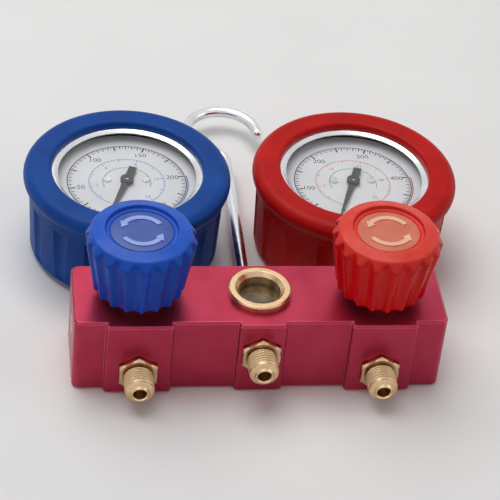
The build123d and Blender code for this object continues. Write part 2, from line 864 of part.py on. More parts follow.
def make_movement_frame(side, x):
    """Two plates on three pillars: two of the pillars go on up to carry the dial."""
    middle = gauge_distance
    posts = [(-pillar_column, middle + pillar_row), (pillar_column, middle + pillar_row)]
    foot = (foot_pillar[0], middle + foot_pillar[1])
    with BuildPart() as movement_frame:
        for bottom in (socket_top, upper_plate_bottom):
            with BuildSketch(level(x, 0, bottom)):
                plate_outline(middle)
            extrude(amount=plate_thickness)
        with BuildSketch(level(x, 0, lower_plate_top)):
            with Locations(foot, *posts):
                Circle(pillar_radius)
        extrude(amount=plate_spacing)
        with BuildSketch(level(x, 0, upper_plate_top)):
            with Locations(*posts):
                Circle(pillar_radius)
        extrude(amount=dial_bottom - upper_plate_top)
        with Locations(*[level(x + column, row, dial_bottom) for column, row in posts]):
            Hole(radius=post_hole_radius + fit, depth=dial_screw_length)
    save(movement_frame, f"{side}_movement_frame")


def make_dial(side, x):
    """Dial plate on the posts of the movement."""
    middle = gauge_distance
    with BuildPart() as dial:
        with BuildSketch(level(x, middle, dial_bottom)):
            Circle(dial_radius)
            Circle(dial_hole_radius, mode=Mode.SUBTRACT)
            with Locations((-pillar_column, pillar_row), (pillar_column, pillar_row)):
                Circle(post_hole_radius + fit, mode=Mode.SUBTRACT)
        extrude(amount=dial_thickness)
    save(dial, f"{side}_dial")


def make_gauge_screws():
    """Screws of both dials, and the countersunk screws that hold both cases on their sockets."""
    middle = gauge_distance
    with BuildPart() as dial_screws:
        for x in stations.values():
            for column in (-pillar_column, pillar_column):
                turn(
                    section(x + column, middle + pillar_row),
                    [
                        (0, dial_top - dial_screw_length),
                        (post_hole_radius, dial_top - dial_screw_length),
                        (post_hole_radius, dial_top),
                        (dial_screw_head_radius, dial_top),
                        (dial_screw_head_radius, dial_top + dial_screw_head_height),
                        (0, dial_top + dial_screw_head_height),
                    ],
                )
    save(dial_screws, "dial_screws")

    with BuildPart() as case_screws:
        for x in stations.values():
            for step in (-0.5, 0.5):
                turn(
                    section(x + step * case_screw_spacing, middle - case_screw_row),
                    [
                        (0, boot_back),
                        (case_screw_head_radius, boot_back),
                        (case_screw_radius, case_floor),
                        (case_screw_radius, boot_back + case_screw_length),
                        (0, boot_back + case_screw_length),
                    ],
                )
    save(case_screws, "case_screws")


def polar(radius, angle):
    """Point at a radius and an angle in degrees."""
    return (radius * cos(radians(angle)), radius * sin(radians(angle)))


def tooth_outline(pitch_radius, middle_angle):
    """Points of one gear tooth: root, pitch circle, tip and back down."""
    pitch = pi * gear_module
    levels = [
        (pitch_radius - tooth_root * gear_module, tooth_root_half * pitch),
        (pitch_radius, tooth_pitch_half * pitch),
        (pitch_radius + tooth_tip * gear_module, tooth_tip_half * pitch),
    ]
    rising = [polar(r, middle_angle - degrees(half / r)) for r, half in levels]
    falling = [polar(r, middle_angle + degrees(half / r)) for r, half in reversed(levels)]
    return rising + falling


def make_pinion(side, x):
    """Pointer arbor with its pinion and the collet of the hairspring."""
    middle = gauge_distance
    step = 360 / pinion_teeth
    with BuildPart() as pinion:
        with BuildSketch(level(x, middle, socket_top + free_gap)):
            Circle(arbor_radius)
        extrude(amount=dial_top + pointer_rise + pointer_hub_height - free_gap - socket_top - free_gap)
        with BuildSketch(level(x, middle, sector_bottom - (pinion_height - sector_thickness) / 2)):
            with BuildLine():
                points = []
                for index in range(pinion_teeth):
                    points += tooth_outline(pinion_pitch_radius, -90 + step * (index + 0.5))
                Polyline(*points, close=True)
            make_face()
        extrude(amount=pinion_height)
        with BuildSketch(level(x, middle, hairspring_bottom)):
            Circle(collet_radius)
        extrude(amount=hairspring_height)
    save(pinion, f"{side}_pinion")


def make_sector(side, x):
    """Toothed sector with its arbor, and the tail that the link pulls."""
    pivot_y = gauge_distance + sector_pivot_y
    step = 360 / (pinion_teeth * gear_ratio)
    first = 90 + step * sector_lead_teeth
    last = first - step * (sector_teeth - 1)
    rim_outer = sector_pitch_radius - tooth_root * gear_module
    rim_inner = rim_outer - sector_rim
    with BuildPart() as sector:
        with BuildSketch(level(x, pivot_y, sector_bottom)):
            with BuildLine():
                points = [(0, 0)]
                for index in range(sector_teeth):
                    points += tooth_outline(sector_pitch_radius, last + step * index)
                Polyline(*points, close=True)
            make_face()
            with BuildLine():
                inner_first = first - degrees(sector_spoke / rim_inner)
                inner_last = last + degrees(sector_spoke / rim_inner)
                hub_edge = sector_hub_radius + sector_spoke
                Polyline(
                    polar(hub_edge, (inner_first + inner_last) / 2),
                    polar(rim_inner, inner_last),
                    polar(rim_inner, (inner_first + inner_last) / 2),
                    polar(rim_inner, inner_first),
                    close=True,
                )
            make_face(mode=Mode.SUBTRACT)
            Circle(sector_hub_radius)
            with Locations(polar(tail_length / 2, tail_angle)):
                SlotCenterToCenter(tail_length, tail_width, rotation=tail_angle)
            with Locations(polar(tail_length, tail_angle)):
                Circle(link_pin_radius + running, mode=Mode.SUBTRACT)
        extrude(amount=sector_thickness)
        with BuildSketch(level(x, pivot_y, socket_top + free_gap)):
            Circle(arbor_radius)
        extrude(amount=upper_plate_top - socket_top - free_gap)
    save(sector, f"{side}_sector")


def make_link(side, x):
    """Link from the tail of the sector to the tip of the tube, with its pin through the tail."""
    pin = Vector(*polar(tail_length, tail_angle)) + Vector(0, sector_pivot_y)
    tip = Vector(*polar(tube_arc_radius, tube_tip_angle - degrees(tip_length / 2 / tube_arc_radius)))
    span = tip - pin
    with BuildPart() as link:
        with BuildSketch(level(x, gauge_distance, link_bottom)):
            with Locations((pin + tip) * 0.5):
                SlotCenterToCenter(span.length, link_width, rotation=degrees(atan2(span.Y, span.X)))
        extrude(amount=link_thickness)
        with BuildSketch(level(x, gauge_distance, link_bottom)):
            with Locations(pin):
                Circle(link_pin_radius)
        extrude(amount=sector_top + free_gap - link_bottom)
    save(link, f"{side}_link")


def make_hairspring(side, x):
    """Flat spiral of half turns that takes up the play, with the stud that anchors its outer end."""
    with BuildPart() as hairspring:
        with BuildSketch(level(x, gauge_distance, hairspring_bottom)):
            with BuildLine():
                radius = hairspring_start
                for turned in range(hairspring_half_turns):
                    shift = hairspring_step if turned % 2 else 0
                    CenterArc((shift, 0), radius, 180 * (turned % 2), 180)
                    radius += hairspring_step
            trace(line_width=hairspring_strip)
        extrude(amount=hairspring_height)
        end_x = -(radius - hairspring_step) if hairspring_half_turns % 2 else radius
        with BuildSketch(level(x, gauge_distance, hairspring_bottom)):
            with Locations((end_x, 0)):
                Circle(2 * hairspring_strip)
        extrude(amount=upper_plate_bottom - hairspring_bottom)
    save(hairspring, f"{side}_hairspring")


def make_pointer(side, x):
    """Pointer with its hub pressed on the arbor and a broad tail that balances the needle."""
    bottom = dial_top + pointer_rise
    blade = bottom + (pointer_hub_height - pointer_thickness) / 2
    with BuildPart() as pointer:
        with BuildSketch(Plane(origin=(x, gauge_distance, blade), x_dir=polar(1, pointer_zero) + (0,))):
            with BuildLine():
                Polyline(
                    (-pointer_tail, -pointer_tail_width / 2),
                    (0, -pointer_root_width / 2),
                    (pointer_length, -pointer_tip_width / 2),
                    (pointer_length, pointer_tip_width / 2),
                    (0, pointer_root_width / 2),
                    (-pointer_tail, pointer_tail_width / 2),
                    close=True,
                )
            make_face()
        extrude(amount=pointer_thickness)
        with BuildSketch(level(x, gauge_distance, bottom)):
            Circle(pointer_hub_radius)
        extrude(amount=pointer_hub_height)
        with Locations(level(x, gauge_distance, bottom + pointer_hub_height)):
            Hole(radius=arbor_radius + fit)
    save(pointer, f"{side}_pointer")


os.makedirs("parts", exist_ok=True)
make_manifold_body()
make_end_plugs()
make_sight_glass()
make_hook()
make_valve_seals()
make_gauge_screws()
make_port("charge_port", 0, centre_boss_face, gallery_height)
for side, x in stations.items():
    make_port(f"{side}_port", x, side_boss_face, line_height)
    make_bonnet(side, x)
    make_packing_nut(side, x)
    make_valve_stem(side, x)
    make_piston(side, x)
    make_knob(side, x)
    make_gauge_shells(side, x)
    make_gauge_socket(side, x)
    make_bourdon_tube(side, x)
    make_movement_frame(side, x)
    make_dial(side, x)
    make_pinion(side, x)
    make_sector(side, x)
    make_link(side, x)
    make_hairspring(side, x)
    make_pointer(side, x)
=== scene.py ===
"""Looks of a two-valve, two-gauge refrigerant manifold set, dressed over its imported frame."""

import json
import math

import bmesh
import bpy
from mathutils import Euler, Matrix, Vector


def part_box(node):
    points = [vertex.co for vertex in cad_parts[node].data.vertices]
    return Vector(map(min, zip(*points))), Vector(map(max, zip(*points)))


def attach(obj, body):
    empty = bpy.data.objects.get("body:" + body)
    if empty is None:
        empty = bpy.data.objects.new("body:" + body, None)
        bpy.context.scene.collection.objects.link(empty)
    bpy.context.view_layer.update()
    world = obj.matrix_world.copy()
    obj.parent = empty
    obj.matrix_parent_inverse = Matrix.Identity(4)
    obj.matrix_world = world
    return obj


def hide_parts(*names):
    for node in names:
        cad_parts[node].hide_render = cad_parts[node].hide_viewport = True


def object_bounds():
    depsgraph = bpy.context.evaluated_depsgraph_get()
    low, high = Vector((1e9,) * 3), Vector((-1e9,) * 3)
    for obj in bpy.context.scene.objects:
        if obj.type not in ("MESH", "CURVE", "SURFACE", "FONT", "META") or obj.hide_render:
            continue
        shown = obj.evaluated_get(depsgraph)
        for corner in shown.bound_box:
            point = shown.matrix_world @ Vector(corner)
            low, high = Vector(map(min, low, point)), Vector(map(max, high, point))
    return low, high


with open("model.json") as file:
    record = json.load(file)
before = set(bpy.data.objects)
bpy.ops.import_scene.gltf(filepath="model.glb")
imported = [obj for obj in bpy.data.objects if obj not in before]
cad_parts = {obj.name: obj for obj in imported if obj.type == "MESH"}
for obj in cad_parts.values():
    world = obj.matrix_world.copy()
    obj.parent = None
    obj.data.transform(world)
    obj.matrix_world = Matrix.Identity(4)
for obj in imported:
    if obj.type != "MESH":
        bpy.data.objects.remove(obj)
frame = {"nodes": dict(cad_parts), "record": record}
cad_low, cad_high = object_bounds()

MM = 0.001
SIDES = ("low", "high")
HUES = {"low": "blue", "high": "red"}


# ---- Places read from the frame


def middle(node):
    """Centre of a node's box."""
    low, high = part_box(node)
    return (low + high) / 2


def top(node):
    """Height of the top of a node."""
    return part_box(node)[1].z


def bottom(node):
    """Height of the underside of a node."""
    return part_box(node)[0].z


def radius(node):
    """Radius of a round node that stands along z."""
    low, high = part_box(node)
    return (high.x - low.x) / 2


# ---- Materials


class Finish:
    """A procedural material: one Principled shader and the textures that feed it."""

    def __init__(self, name, **constants):
        self.material = bpy.data.materials.new(name)
        self.material.use_nodes = True
        self.nodes = self.material.node_tree.nodes
        self.links = self.material.node_tree.links
        self.shader = self.nodes["Principled BSDF"]
        self.place = self.nodes.new("ShaderNodeTexCoord").outputs["Object"]
        self.normal = None
        for socket, value in constants.items():
            self.shader.inputs[socket.replace("_", " ")].default_value = value

    def add(self, kind, inputs=None, **settings):
        """Adds a node, and links or sets its inputs by name or number."""
        made = self.nodes.new(kind)
        for name, value in settings.items():
            setattr(made, name, value)
        for name, value in (inputs or {}).items():
            if isinstance(value, bpy.types.NodeSocket):
                self.links.new(value, made.inputs[name])
            else:
                made.inputs[name].default_value = value
        return made

    def noise(self, size, detail=3.0, stretch=(1, 1, 1)):
        """Noise from 0 to 1 whose blotches are about size metres across."""
        mapped = self.add("ShaderNodeMapping", {"Vector": self.place, "Scale": stretch})
        inputs = {"Vector": mapped.outputs[0], "Scale": 1 / size, "Detail": detail}
        return self.add("ShaderNodeTexNoise", inputs).outputs["Fac"]

    def spread(self, value, low, high, start=0.3, end=0.7):
        """Value between start and end turned into a number between low and high."""
        inputs = {"Value": value, "From Min": start, "From Max": end, "To Min": low, "To Max": high}
        return self.add("ShaderNodeMapRange", inputs).outputs["Result"]

    def blend(self, share, first, second):
        """Colour between first and second by share; each is a colour or a socket."""
        made = self.add("ShaderNodeMix", data_type="RGBA")
        for index, value in ((0, share), (6, first), (7, second)):
            if isinstance(value, bpy.types.NodeSocket):
                self.links.new(value, made.inputs[index])
            else:
                made.inputs[index].default_value = value if index == 0 else (*value, 1)
        return made.outputs[2]

    def edges(self, size):
        """Near 1 on edges sharper than size metres, and 0 on open faces."""
        bevel = self.add("ShaderNodeBevel", {"Radius": size}, samples=6)
        flat = self.add("ShaderNodeNewGeometry").outputs["Normal"]
        inputs = {0: bevel.outputs[0], 1: flat}
        turned = self.add("ShaderNodeVectorMath", inputs, operation="DOT_PRODUCT").outputs["Value"]
        return self.spread(turned, 1.0, 0.0, 0.75, 0.985)

    def crevice_shade_and_tarnish(self, size):
        """Near 1 in grooves and corners narrower than size metres, and 0 on open faces."""
        shut_in = self.add("ShaderNodeAmbientOcclusion", {"Distance": size}, samples=8).outputs["AO"]
        return self.spread(shut_in, 1.0, 0.0, 0.30, 0.90)

    def upward(self, low, high):
        """How far a surface faces up: 0 where its normal's z is below low, and 1 above high."""
        normal = self.add("ShaderNodeNewGeometry").outputs["Normal"]
        height = self.add("ShaderNodeSeparateXYZ", {0: normal}).outputs["Z"]
        return self.spread(height, 0.0, 1.0, low, high)

    def soften(self, size):
        """Rounds the shading of every edge over size metres."""
        self.normal = self.add("ShaderNodeBevel", {"Radius": size}, samples=6).outputs[0]

    def bump(self, height, depth):
        """Raises the surface by up to depth metres where height is 1."""
        inputs = {"Height": height, "Distance": depth, "Strength": 1.0}
        if self.normal:
            inputs["Normal"] = self.normal
        self.normal = self.add("ShaderNodeBump", inputs).outputs["Normal"]

    def feed(self, **sockets):
        """Links sockets into the shader by name, and its normal; the finished material."""
        for name, value in sockets.items():
            self.links.new(value, self.shader.inputs[name.replace("_", " ")])
        if self.normal:
            self.links.new(self.normal, self.shader.inputs["Normal"])
        return self.material


def anodised():
    """Dyed and anodised aluminium: satin, a little cloudy, and paler on its edges from rubbing and painted
    highlight.
    """
    finish = Finish("red_anodised", Metallic=0.75, Specular_IOR_Level=0.6)
    cloud = finish.noise(14 * MM, 4)
    grain = finish.noise(0.25 * MM, 2)
    drag = finish.noise(0.35 * MM, 3, stretch=(0.05, 1, 1))
    edge_share = finish.edges(0.5 * MM)
    surface_colour = finish.blend(finish.spread(cloud, 0, 1), (0.42, 0.022, 0.062), (0.49, 0.036, 0.082))
    # Edges paler from rubbing and painted highlight.
    surface_colour = finish.blend(edge_share, surface_colour, (0.80, 0.30, 0.36))
    finish.soften(0.35 * MM)
    finish.bump(drag, 0.012 * MM)
    finish.bump(grain, 0.010 * MM)
    return finish.feed(Base_Color=surface_colour, Roughness=finish.spread(cloud, 0.29, 0.36))


def brass():
    """Machined brass, dulled in patches, with fine turning marks, bright edges, and painted shade with some
    tarnish in its thread roots and corners.
    """
    finish = Finish("brass", Metallic=1.0)
    patch = finish.noise(5 * MM, 5)
    marks = finish.noise(0.2 * MM, 2, stretch=(0.2, 0.2, 3))
    edge_share = finish.edges(0.3 * MM)
    base = finish.blend(finish.spread(patch, 0, 0.5), (0.82, 0.59, 0.35), (0.50, 0.30, 0.13))
    # Painted shade with some tarnish: thread roots and corners darkened where ambient occlusion finds them
    # shut in.
    base = finish.blend(finish.crevice_shade_and_tarnish(2.0 * MM), base, (0.16, 0.085, 0.030))
    base = finish.blend(edge_share, base, (0.95, 0.82, 0.62))
    finish.soften(0.2 * MM)
    finish.bump(marks, 0.010 * MM)
    return finish.feed(Base_Color=base, Roughness=finish.spread(patch, 0.20, 0.42))


def plated(name, tone, roughness):
    """Bright plated or bare steel, with hairlines and faint smudges."""
    finish = Finish(name, Metallic=1.0)
    smudge = finish.noise(9 * MM, 4)
    hair = finish.noise(0.12 * MM, 2, stretch=(1, 0.04, 1))
    base = finish.blend(finish.spread(smudge, 0, 1), tone, [0.82 * part for part in tone])
    finish.soften(0.2 * MM)
    finish.bump(hair, 0.004 * MM)
    return finish.feed(Base_Color=base, Roughness=finish.spread(smudge, roughness, roughness + 0.14))


def bronze():
    """Phosphor bronze strip and tube, browned by heat."""
    finish = Finish("bronze", Metallic=1.0)
    heat = finish.noise(7 * MM, 4)
    base = finish.blend(finish.spread(heat, 0, 1), (0.74, 0.46, 0.26), (0.44, 0.25, 0.13))
    finish.bump(finish.noise(0.15 * MM), 0.006 * MM)
    return finish.feed(Base_Color=base, Roughness=finish.spread(heat, 0.28, 0.45))


def rubber(name, deep, bright):
    """Moulded synthetic rubber with a soft shine, pale dust in its hollows and edges paled by rubbing."""
    finish = Finish(name, Specular_IOR_Level=0.14)
    cloud = finish.noise(18 * MM, 4)
    pores = finish.noise(0.5 * MM, 4)
    lumps = finish.noise(6 * MM, 2)
    edge_share = finish.edges(1.2 * MM)
    surface_colour = finish.blend(finish.spread(cloud, 0, 1), deep, bright)
    surface_colour = finish.blend(finish.spread(edge_share, 0, 0.22, 0, 1), surface_colour, [0.7 * part + 0.15 for part in bright])
    finish.bump(lumps, 0.10 * MM)
    finish.bump(pores, 0.030 * MM)
    return finish.feed(Base_Color=surface_colour, Roughness=finish.spread(pores, 0.34, 0.50))


def knob_plastic(name, deep, bright, rubbed_and_lit):
    """Moulded plastic with faint flow marks, paler on its crests from rubbing and painted highlight, and
    with painted light paling its upward faces in patches.
    """
    finish = Finish(name, Specular_IOR_Level=0.16)
    flow = finish.noise(10 * MM, 3, stretch=(1, 1, 0.4))
    fine = finish.noise(0.35 * MM, 3)
    lit_top_patches = finish.noise(4 * MM, 4)
    edge_share = finish.edges(0.8 * MM)
    surface_colour = finish.blend(finish.spread(flow, 0, 1), deep, bright)
    # Crests paler from rubbing and painted highlight.
    surface_colour = finish.blend(finish.spread(edge_share, 0, 0.20, 0, 1), surface_colour, rubbed_and_lit)
    # Painted light: faces that look up are made paler in patches, as if lit from above.
    shares = {0: finish.upward(0.15, 0.95), 1: finish.spread(lit_top_patches, 0.55, 0.85)}
    share = finish.add("ShaderNodeMath", shares, operation="MULTIPLY").outputs[0]
    surface_colour = finish.blend(share, surface_colour, rubbed_and_lit)
    finish.bump(fine, 0.010 * MM)
    return finish.feed(Base_Color=surface_colour, Roughness=finish.spread(fine, 0.20, 0.32))


def dull(name, dark, light, roughness, grain=0.4):
    """Matt paint, plastic or rubber with a fine grain and slight change of tone."""
    finish = Finish(name, Specular_IOR_Level=0.4)
    cloud = finish.noise(8 * MM, 4)
    fine = finish.noise(grain * MM, 3)
    finish.bump(fine, 0.012 * MM)
    tone = finish.blend(finish.spread(cloud, 0, 1), dark, light)
    return finish.feed(Base_Color=tone, Roughness=finish.spread(fine, roughness - 0.08, roughness + 0.08))


def dial_paint():
    """White enamel of a dial, very slightly mottled, with a satin face."""
    finish = Finish("dial_white", Specular_IOR_Level=0.3)
    cloud = finish.noise(12 * MM, 5)
    fine = finish.noise(0.2 * MM, 2)
    tone = finish.blend(finish.spread(cloud, 0, 1), (0.70, 0.71, 0.74), (0.77, 0.78, 0.80))
    finish.bump(fine, 0.004 * MM)
    return finish.feed(Base_Color=tone, Roughness=finish.spread(fine, 0.42, 0.55))


def lens():
    """Clear window: it bends and mirrors light, has faint smears, and lets lamps light the dial."""
    finish = Finish("clear_lens", Transmission_Weight=1.0, IOR=1.38, Base_Color=(0.97, 0.98, 0.99, 1))
    smear = finish.noise(11 * MM, 4, stretch=(1, 2.5, 1))
    finish.bump(finish.noise(6 * MM, 1), 0.010 * MM)
    finish.feed(Roughness=finish.spread(smear, 0.0, 0.04))
    clear = finish.add("ShaderNodeBsdfTransparent").outputs[0]
    path = finish.add("ShaderNodeLightPath").outputs
    rays = {0: path["Is Shadow Ray"], 1: path["Is Diffuse Ray"]}
    passing = finish.add("ShaderNodeMath", rays, operation="MAXIMUM").outputs[0]
    mixed = finish.add("ShaderNodeMixShader", {0: passing, 1: finish.shader.outputs[0], 2: clear})
    finish.links.new(mixed.outputs[0], finish.nodes["Material Output"].inputs["Surface"])
    return finish.material


def sight_window():
    """Thick window over an oily chamber: olive and brown, with painted shadow darkening it towards its rim,
    under a polished face.
    """
    finish = Finish("sight_window", Coat_Weight=1.0, Coat_Roughness=0.03, Specular_IOR_Level=0.3)
    patch = finish.noise(3.4 * MM, 4)
    ends = {0: finish.place, 1: tuple(middle("sight_glass"))}
    reach = finish.add("ShaderNodeVectorMath", ends, operation="DISTANCE").outputs["Value"]
    edge = radius("sight_glass")
    painted_wall_shadow = finish.spread(reach, 0, 1, 0.45 * edge, edge)
    tone = finish.blend(finish.spread(patch, 0, 1, 0.36, 0.64), (0.060, 0.038, 0.010), (0.190, 0.115, 0.035))
    # Painted shadow of the seat, darker towards the rim.
    tone = finish.blend(painted_wall_shadow, tone, (0.030, 0.018, 0.006))
    finish.bump(patch, 0.02 * MM)
    return finish.feed(Base_Color=tone, Roughness=finish.spread(patch, 0.10, 0.25))


def print_ink(name, tone):
    """Screen-printed ink, a little uneven."""
    finish = Finish(name, Specular_IOR_Level=0.3)
    patchy = finish.noise(0.6 * MM, 3)
    ink = finish.blend(finish.spread(patchy, 0, 1), tone, [0.75 * part + 0.06 for part in tone])
    return finish.feed(Base_Color=ink, Roughness=finish.spread(patchy, 0.4, 0.55))


def make_finishes():
    """Every material, by the name of its slot in the record, and the inks and marks besides."""
    return {
        "red_anodised": anodised(),
        "brass": brass(),
        "bronze": bronze(),
        "steel": plated("steel", (0.66, 0.66, 0.67), 0.24),
        "chrome": plated("chrome", (0.88, 0.89, 0.91), 0.16),
        "blue_rubber": rubber("blue_rubber", (0.002, 0.045, 0.240), (0.004, 0.070, 0.340)),
        "red_rubber": rubber("red_rubber", (0.400, 0.002, 0.001), (0.540, 0.006, 0.004)),
        # The third colour of each knob is the paler tone of its crests, from rubbing and painted highlight,
        # and of the painted light on its top.
        "blue_knob": knob_plastic(
            "blue_knob", (0.000, 0.044, 0.350), (0.000, 0.068, 0.500), (0.030, 0.130, 0.660)
        ),
        "red_knob": knob_plastic(
            "red_knob", (0.590, 0.000, 0.000), (0.740, 0.002, 0.002), (0.840, 0.085, 0.060)
        ),
        "black_rubber": dull("black_rubber", (0.016, 0.016, 0.016), (0.030, 0.030, 0.030), 0.6),
        "white_ptfe": dull("white_ptfe", (0.76, 0.76, 0.74), (0.86, 0.86, 0.84), 0.5),
        "black_paint": dull("black_paint", (0.005, 0.005, 0.006), (0.012, 0.012, 0.013), 0.45, 0.2),
        "dial_white": dial_paint(),
        "clear_lens": lens(),
        "sight_window": sight_window(),
        "black_ink": print_ink("black_ink", (0.02, 0.02, 0.02)),
        "blue_ink": print_ink("blue_ink", (0.02, 0.12, 0.55)),
        "red_ink": print_ink("red_ink", (0.60, 0.02, 0.02)),
        "green_ink": print_ink("green_ink", (0.04, 0.34, 0.10)),
        "blue_cap": dull("blue_cap", (0.030, 0.080, 0.330), (0.055, 0.115, 0.420), 0.30),
        "red_cap": dull("red_cap", (0.620, 0.150, 0.090), (0.710, 0.205, 0.125), 0.30),
        "blue_mark": dull("blue_mark", (0.26, 0.36, 0.82), (0.34, 0.44, 0.88), 0.35),
        "red_mark": dull("red_mark", (0.88, 0.44, 0.30), (0.94, 0.54, 0.38), 0.35),
    }


def finish_frame_nodes(finishes):
    """Gives each node of the frame the material of its slot in the record."""
    for subpart in frame["record"]["subparts"]:
        shown = frame["nodes"][subpart["node"]].data
        shown.materials.clear()
        shown.materials.append(finishes[subpart["material_slot"]])


# ---- Mesh helpers


def piece(name, mesh, material, body, crease=35):
    """Adds a bmesh as an object that rides on a body; edges sharper than crease degrees stay sharp."""
    data = bpy.data.meshes.new(name)
    bmesh.ops.recalc_face_normals(mesh, faces=mesh.faces)
    mesh.to_mesh(data)
    mesh.free()
    data.shade_smooth()
    data.set_sharp_from_angle(angle=math.radians(crease))
    data.materials.append(material)
    made = bpy.data.objects.new(name, data)
    bpy.context.scene.collection.objects.link(made)
    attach(made, body)
    return made


def skin(mesh, rings):
    """Joins rings of equal length with faces, and fills the first and the last."""
    count = len(rings[0])
    for lower, upper in zip(rings, rings[1:]):
        for index in range(count):
            after = (index + 1) % count
            mesh.faces.new((lower[index], lower[after], upper[after], upper[index]))
    mesh.faces.new(rings[0])
    mesh.faces.new(rings[-1])


def turned(mesh, place, profile, sides, shape=None):
    """Skin through (radius, height) points turned round the z axis of place; shape may change a radius."""
    rings = []
    for distance, height in profile:
        ring = []
        for index in range(sides):
            angle = math.tau * index / sides
            reach = shape(distance, height, angle) if shape else distance
            point = Vector((reach * math.cos(angle), reach * math.sin(angle), height))
            ring.append(mesh.verts.new(place @ point))
        rings.append(ring)
    skin(mesh, rings)


def polar(reach, turn):
    """Point of the xy plane at a distance and an angle in degrees."""
    angle = math.radians(turn)
    return Vector((reach * math.cos(angle), reach * math.sin(angle), 0))


def arc_points(centre, reach, start, end, count):
    """Points of a circular arc in a profile, from start to end degrees."""
    steps = [math.radians(start + (end - start) * index / (count - 1)) for index in range(count)]
    return [(centre[0] + reach * math.cos(step), centre[1] + reach * math.sin(step)) for step in steps]


def line_points(start, end, count):
    """Points evenly along a straight stretch of a profile, without its last."""
    return [
        (start[0] + (end[0] - start[0]) * index / count, start[1] + (end[1] - start[1]) * index / count)
        for index in range(count)
    ]


# ---- Hand knobs

KNOB_FLUTES = 18
SIDES_PER_FLUTE = 14
FLUTE_DEPTH = 1.5 * MM
FLUTE_WIDTH = 5.0 * MM
FLUTE_BLEND = 0.02  # rounds the crest between two flutes
FLUTE_FADE = 0.8  # how fast a flute runs out up the chamfer
RIM_WIDTH = 7.2 * MM
RIM_SLOPE = 1.2 * MM
RIM_ROUND = 0.5 * MM
CHAMFER_WIDTH = 2.3 * MM
CHAMFER_HEIGHT = 3.4 * MM
RECESS_DEPTH = 1.4 * MM
CAP_GROOVE_DEPTH = 0.4 * MM
KNOB_FOOT_SHRINK = 3.5 * MM
KNOB_FOOT_ROUND = 0.8 * MM
CAVITY_RADIUS = 12.5 * MM
CAVITY_HEIGHT = 12.0 * MM
CAVITY_ROUND = 0.8 * MM
CAVITY_CHAMFER = 0.6 * MM
POLE_RADIUS = 0.2 * MM  # of the small ring that closes a turned skin
CAP_BACK = 0.38 * MM  # from the recess down to the back of the cap
CAP_ROUND = 0.4 * MM
CAP_SIDES = 96
MARK_RISE = 0.35 * MM
MARK_RADIUS = 7.6 * MM
MARK_WIDTH = 1.9 * MM
MARK_SWEEP = 112
MARK_STARTS = (30, 210)
MARK_HEAD_SWEEP = 24
MARK_STEPS = 16


def flute(distance, angle):
    """How deep a flute is at this angle, with a rounded crest each side."""
    pitch = math.tau / KNOB_FLUTES
    along = distance * ((angle + pitch / 2) % pitch - pitch / 2)
    parabola = 1 - (along / (FLUTE_WIDTH / 2)) ** 2
    return FLUTE_DEPTH * (parabola + math.sqrt(parabola**2 + FLUTE_BLEND)) / 2


def make_knob(side, finishes):
    """Fluted knob with a scalloped rim, a recessed top and raised turning arrows."""
    node, cap_node, body = f"{side}_knob", f"{side}_knob_cap", f"{side}_spindle"
    slot, cap_slot, mark_slot = (f"{HUES[side]}_{part}" for part in ("knob", "cap", "mark"))
    centre, high, low, wide = middle(node), top(node), bottom(node), radius(node)
    cap_wide, cap_high = radius(cap_node), top(cap_node)
    foot = wide - KNOB_FOOT_SHRINK
    recess = high - RECESS_DEPTH
    rim = high - RIM_SLOPE
    inner = wide - RIM_WIDTH
    shoulder = rim - CHAMFER_HEIGHT
    brow = wide - CHAMFER_WIDTH
    profile = [
        (POLE_RADIUS, low + CAVITY_HEIGHT),
        (CAVITY_RADIUS - CAVITY_ROUND, low + CAVITY_HEIGHT),
        (CAVITY_RADIUS, low + CAVITY_HEIGHT - CAVITY_ROUND),
        (CAVITY_RADIUS, low + CAVITY_CHAMFER),
        (CAVITY_RADIUS + CAVITY_CHAMFER, low),
        (foot - 1.2 * MM, low),
        *arc_points((foot - KNOB_FOOT_ROUND, low + KNOB_FOOT_ROUND), KNOB_FOOT_ROUND, -70, -10, 4),
        *line_points((foot, low + 1.2 * MM), (wide - 0.1 * MM, shoulder), 9),
        (wide - 0.1 * MM, shoulder),
        *line_points((wide - 0.3 * MM, shoulder + 0.3 * MM), (brow, rim - 0.2 * MM), 6),
        (brow, rim - 0.2 * MM),
        (brow - 0.4 * MM, rim),
        *line_points((brow - 1.0 * MM, rim + 0.12 * MM), (inner + 0.6 * MM, high - 0.05 * MM), 4),
        *arc_points((inner + RIM_ROUND, high - RIM_ROUND), RIM_ROUND, 80, 170, 5),
        *arc_points((inner - 0.7 * MM, recess + RIM_ROUND), RIM_ROUND, -20, -90, 4),
        (cap_wide + 0.5 * MM, recess),
        (cap_wide + 0.2 * MM, recess - CAP_GROOVE_DEPTH),
        (POLE_RADIUS, recess - CAP_GROOVE_DEPTH),
    ]

    def fluted(distance, height, angle):
        if distance < foot - 1.3 * MM:
            return distance
        cut = flute(distance, angle)
        if height > shoulder:
            on_chamfer = distance > brow - 0.1 * MM
            cut = max(0.0, cut - FLUTE_FADE * (wide - distance)) if on_chamfer else 0.0
        return distance - cut

    mesh = bmesh.new()
    place = Matrix.Translation((centre.x, centre.y, 0))
    turned(mesh, place, profile, KNOB_FLUTES * SIDES_PER_FLUTE, fluted)
    made = piece(f"{side}_hand_knob", mesh, finishes[slot], body, crease=50)
    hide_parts(node)

    disc = bmesh.new()
    cap_back = recess - CAP_BACK
    outline = [
        (POLE_RADIUS, cap_back),
        (cap_wide, cap_back),
        (cap_wide, cap_high - CAP_ROUND),
        *arc_points((cap_wide - CAP_ROUND, cap_high - CAP_ROUND), CAP_ROUND, 20, 90, 4),
        (cap_wide / 2, cap_high),
        (POLE_RADIUS, cap_high),
    ]
    turned(disc, place, outline, CAP_SIDES)
    cap = piece(f"{side}_cap_disc", disc, finishes[cap_slot], body, crease=50)
    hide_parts(cap_node)

    marks = bmesh.new()
    for start in MARK_STARTS:
        arrow(marks, Matrix.Translation((centre.x, centre.y, cap_high)), start)
    piece(f"{side}_knob_arrows", marks, finishes[mark_slot], body, crease=30)


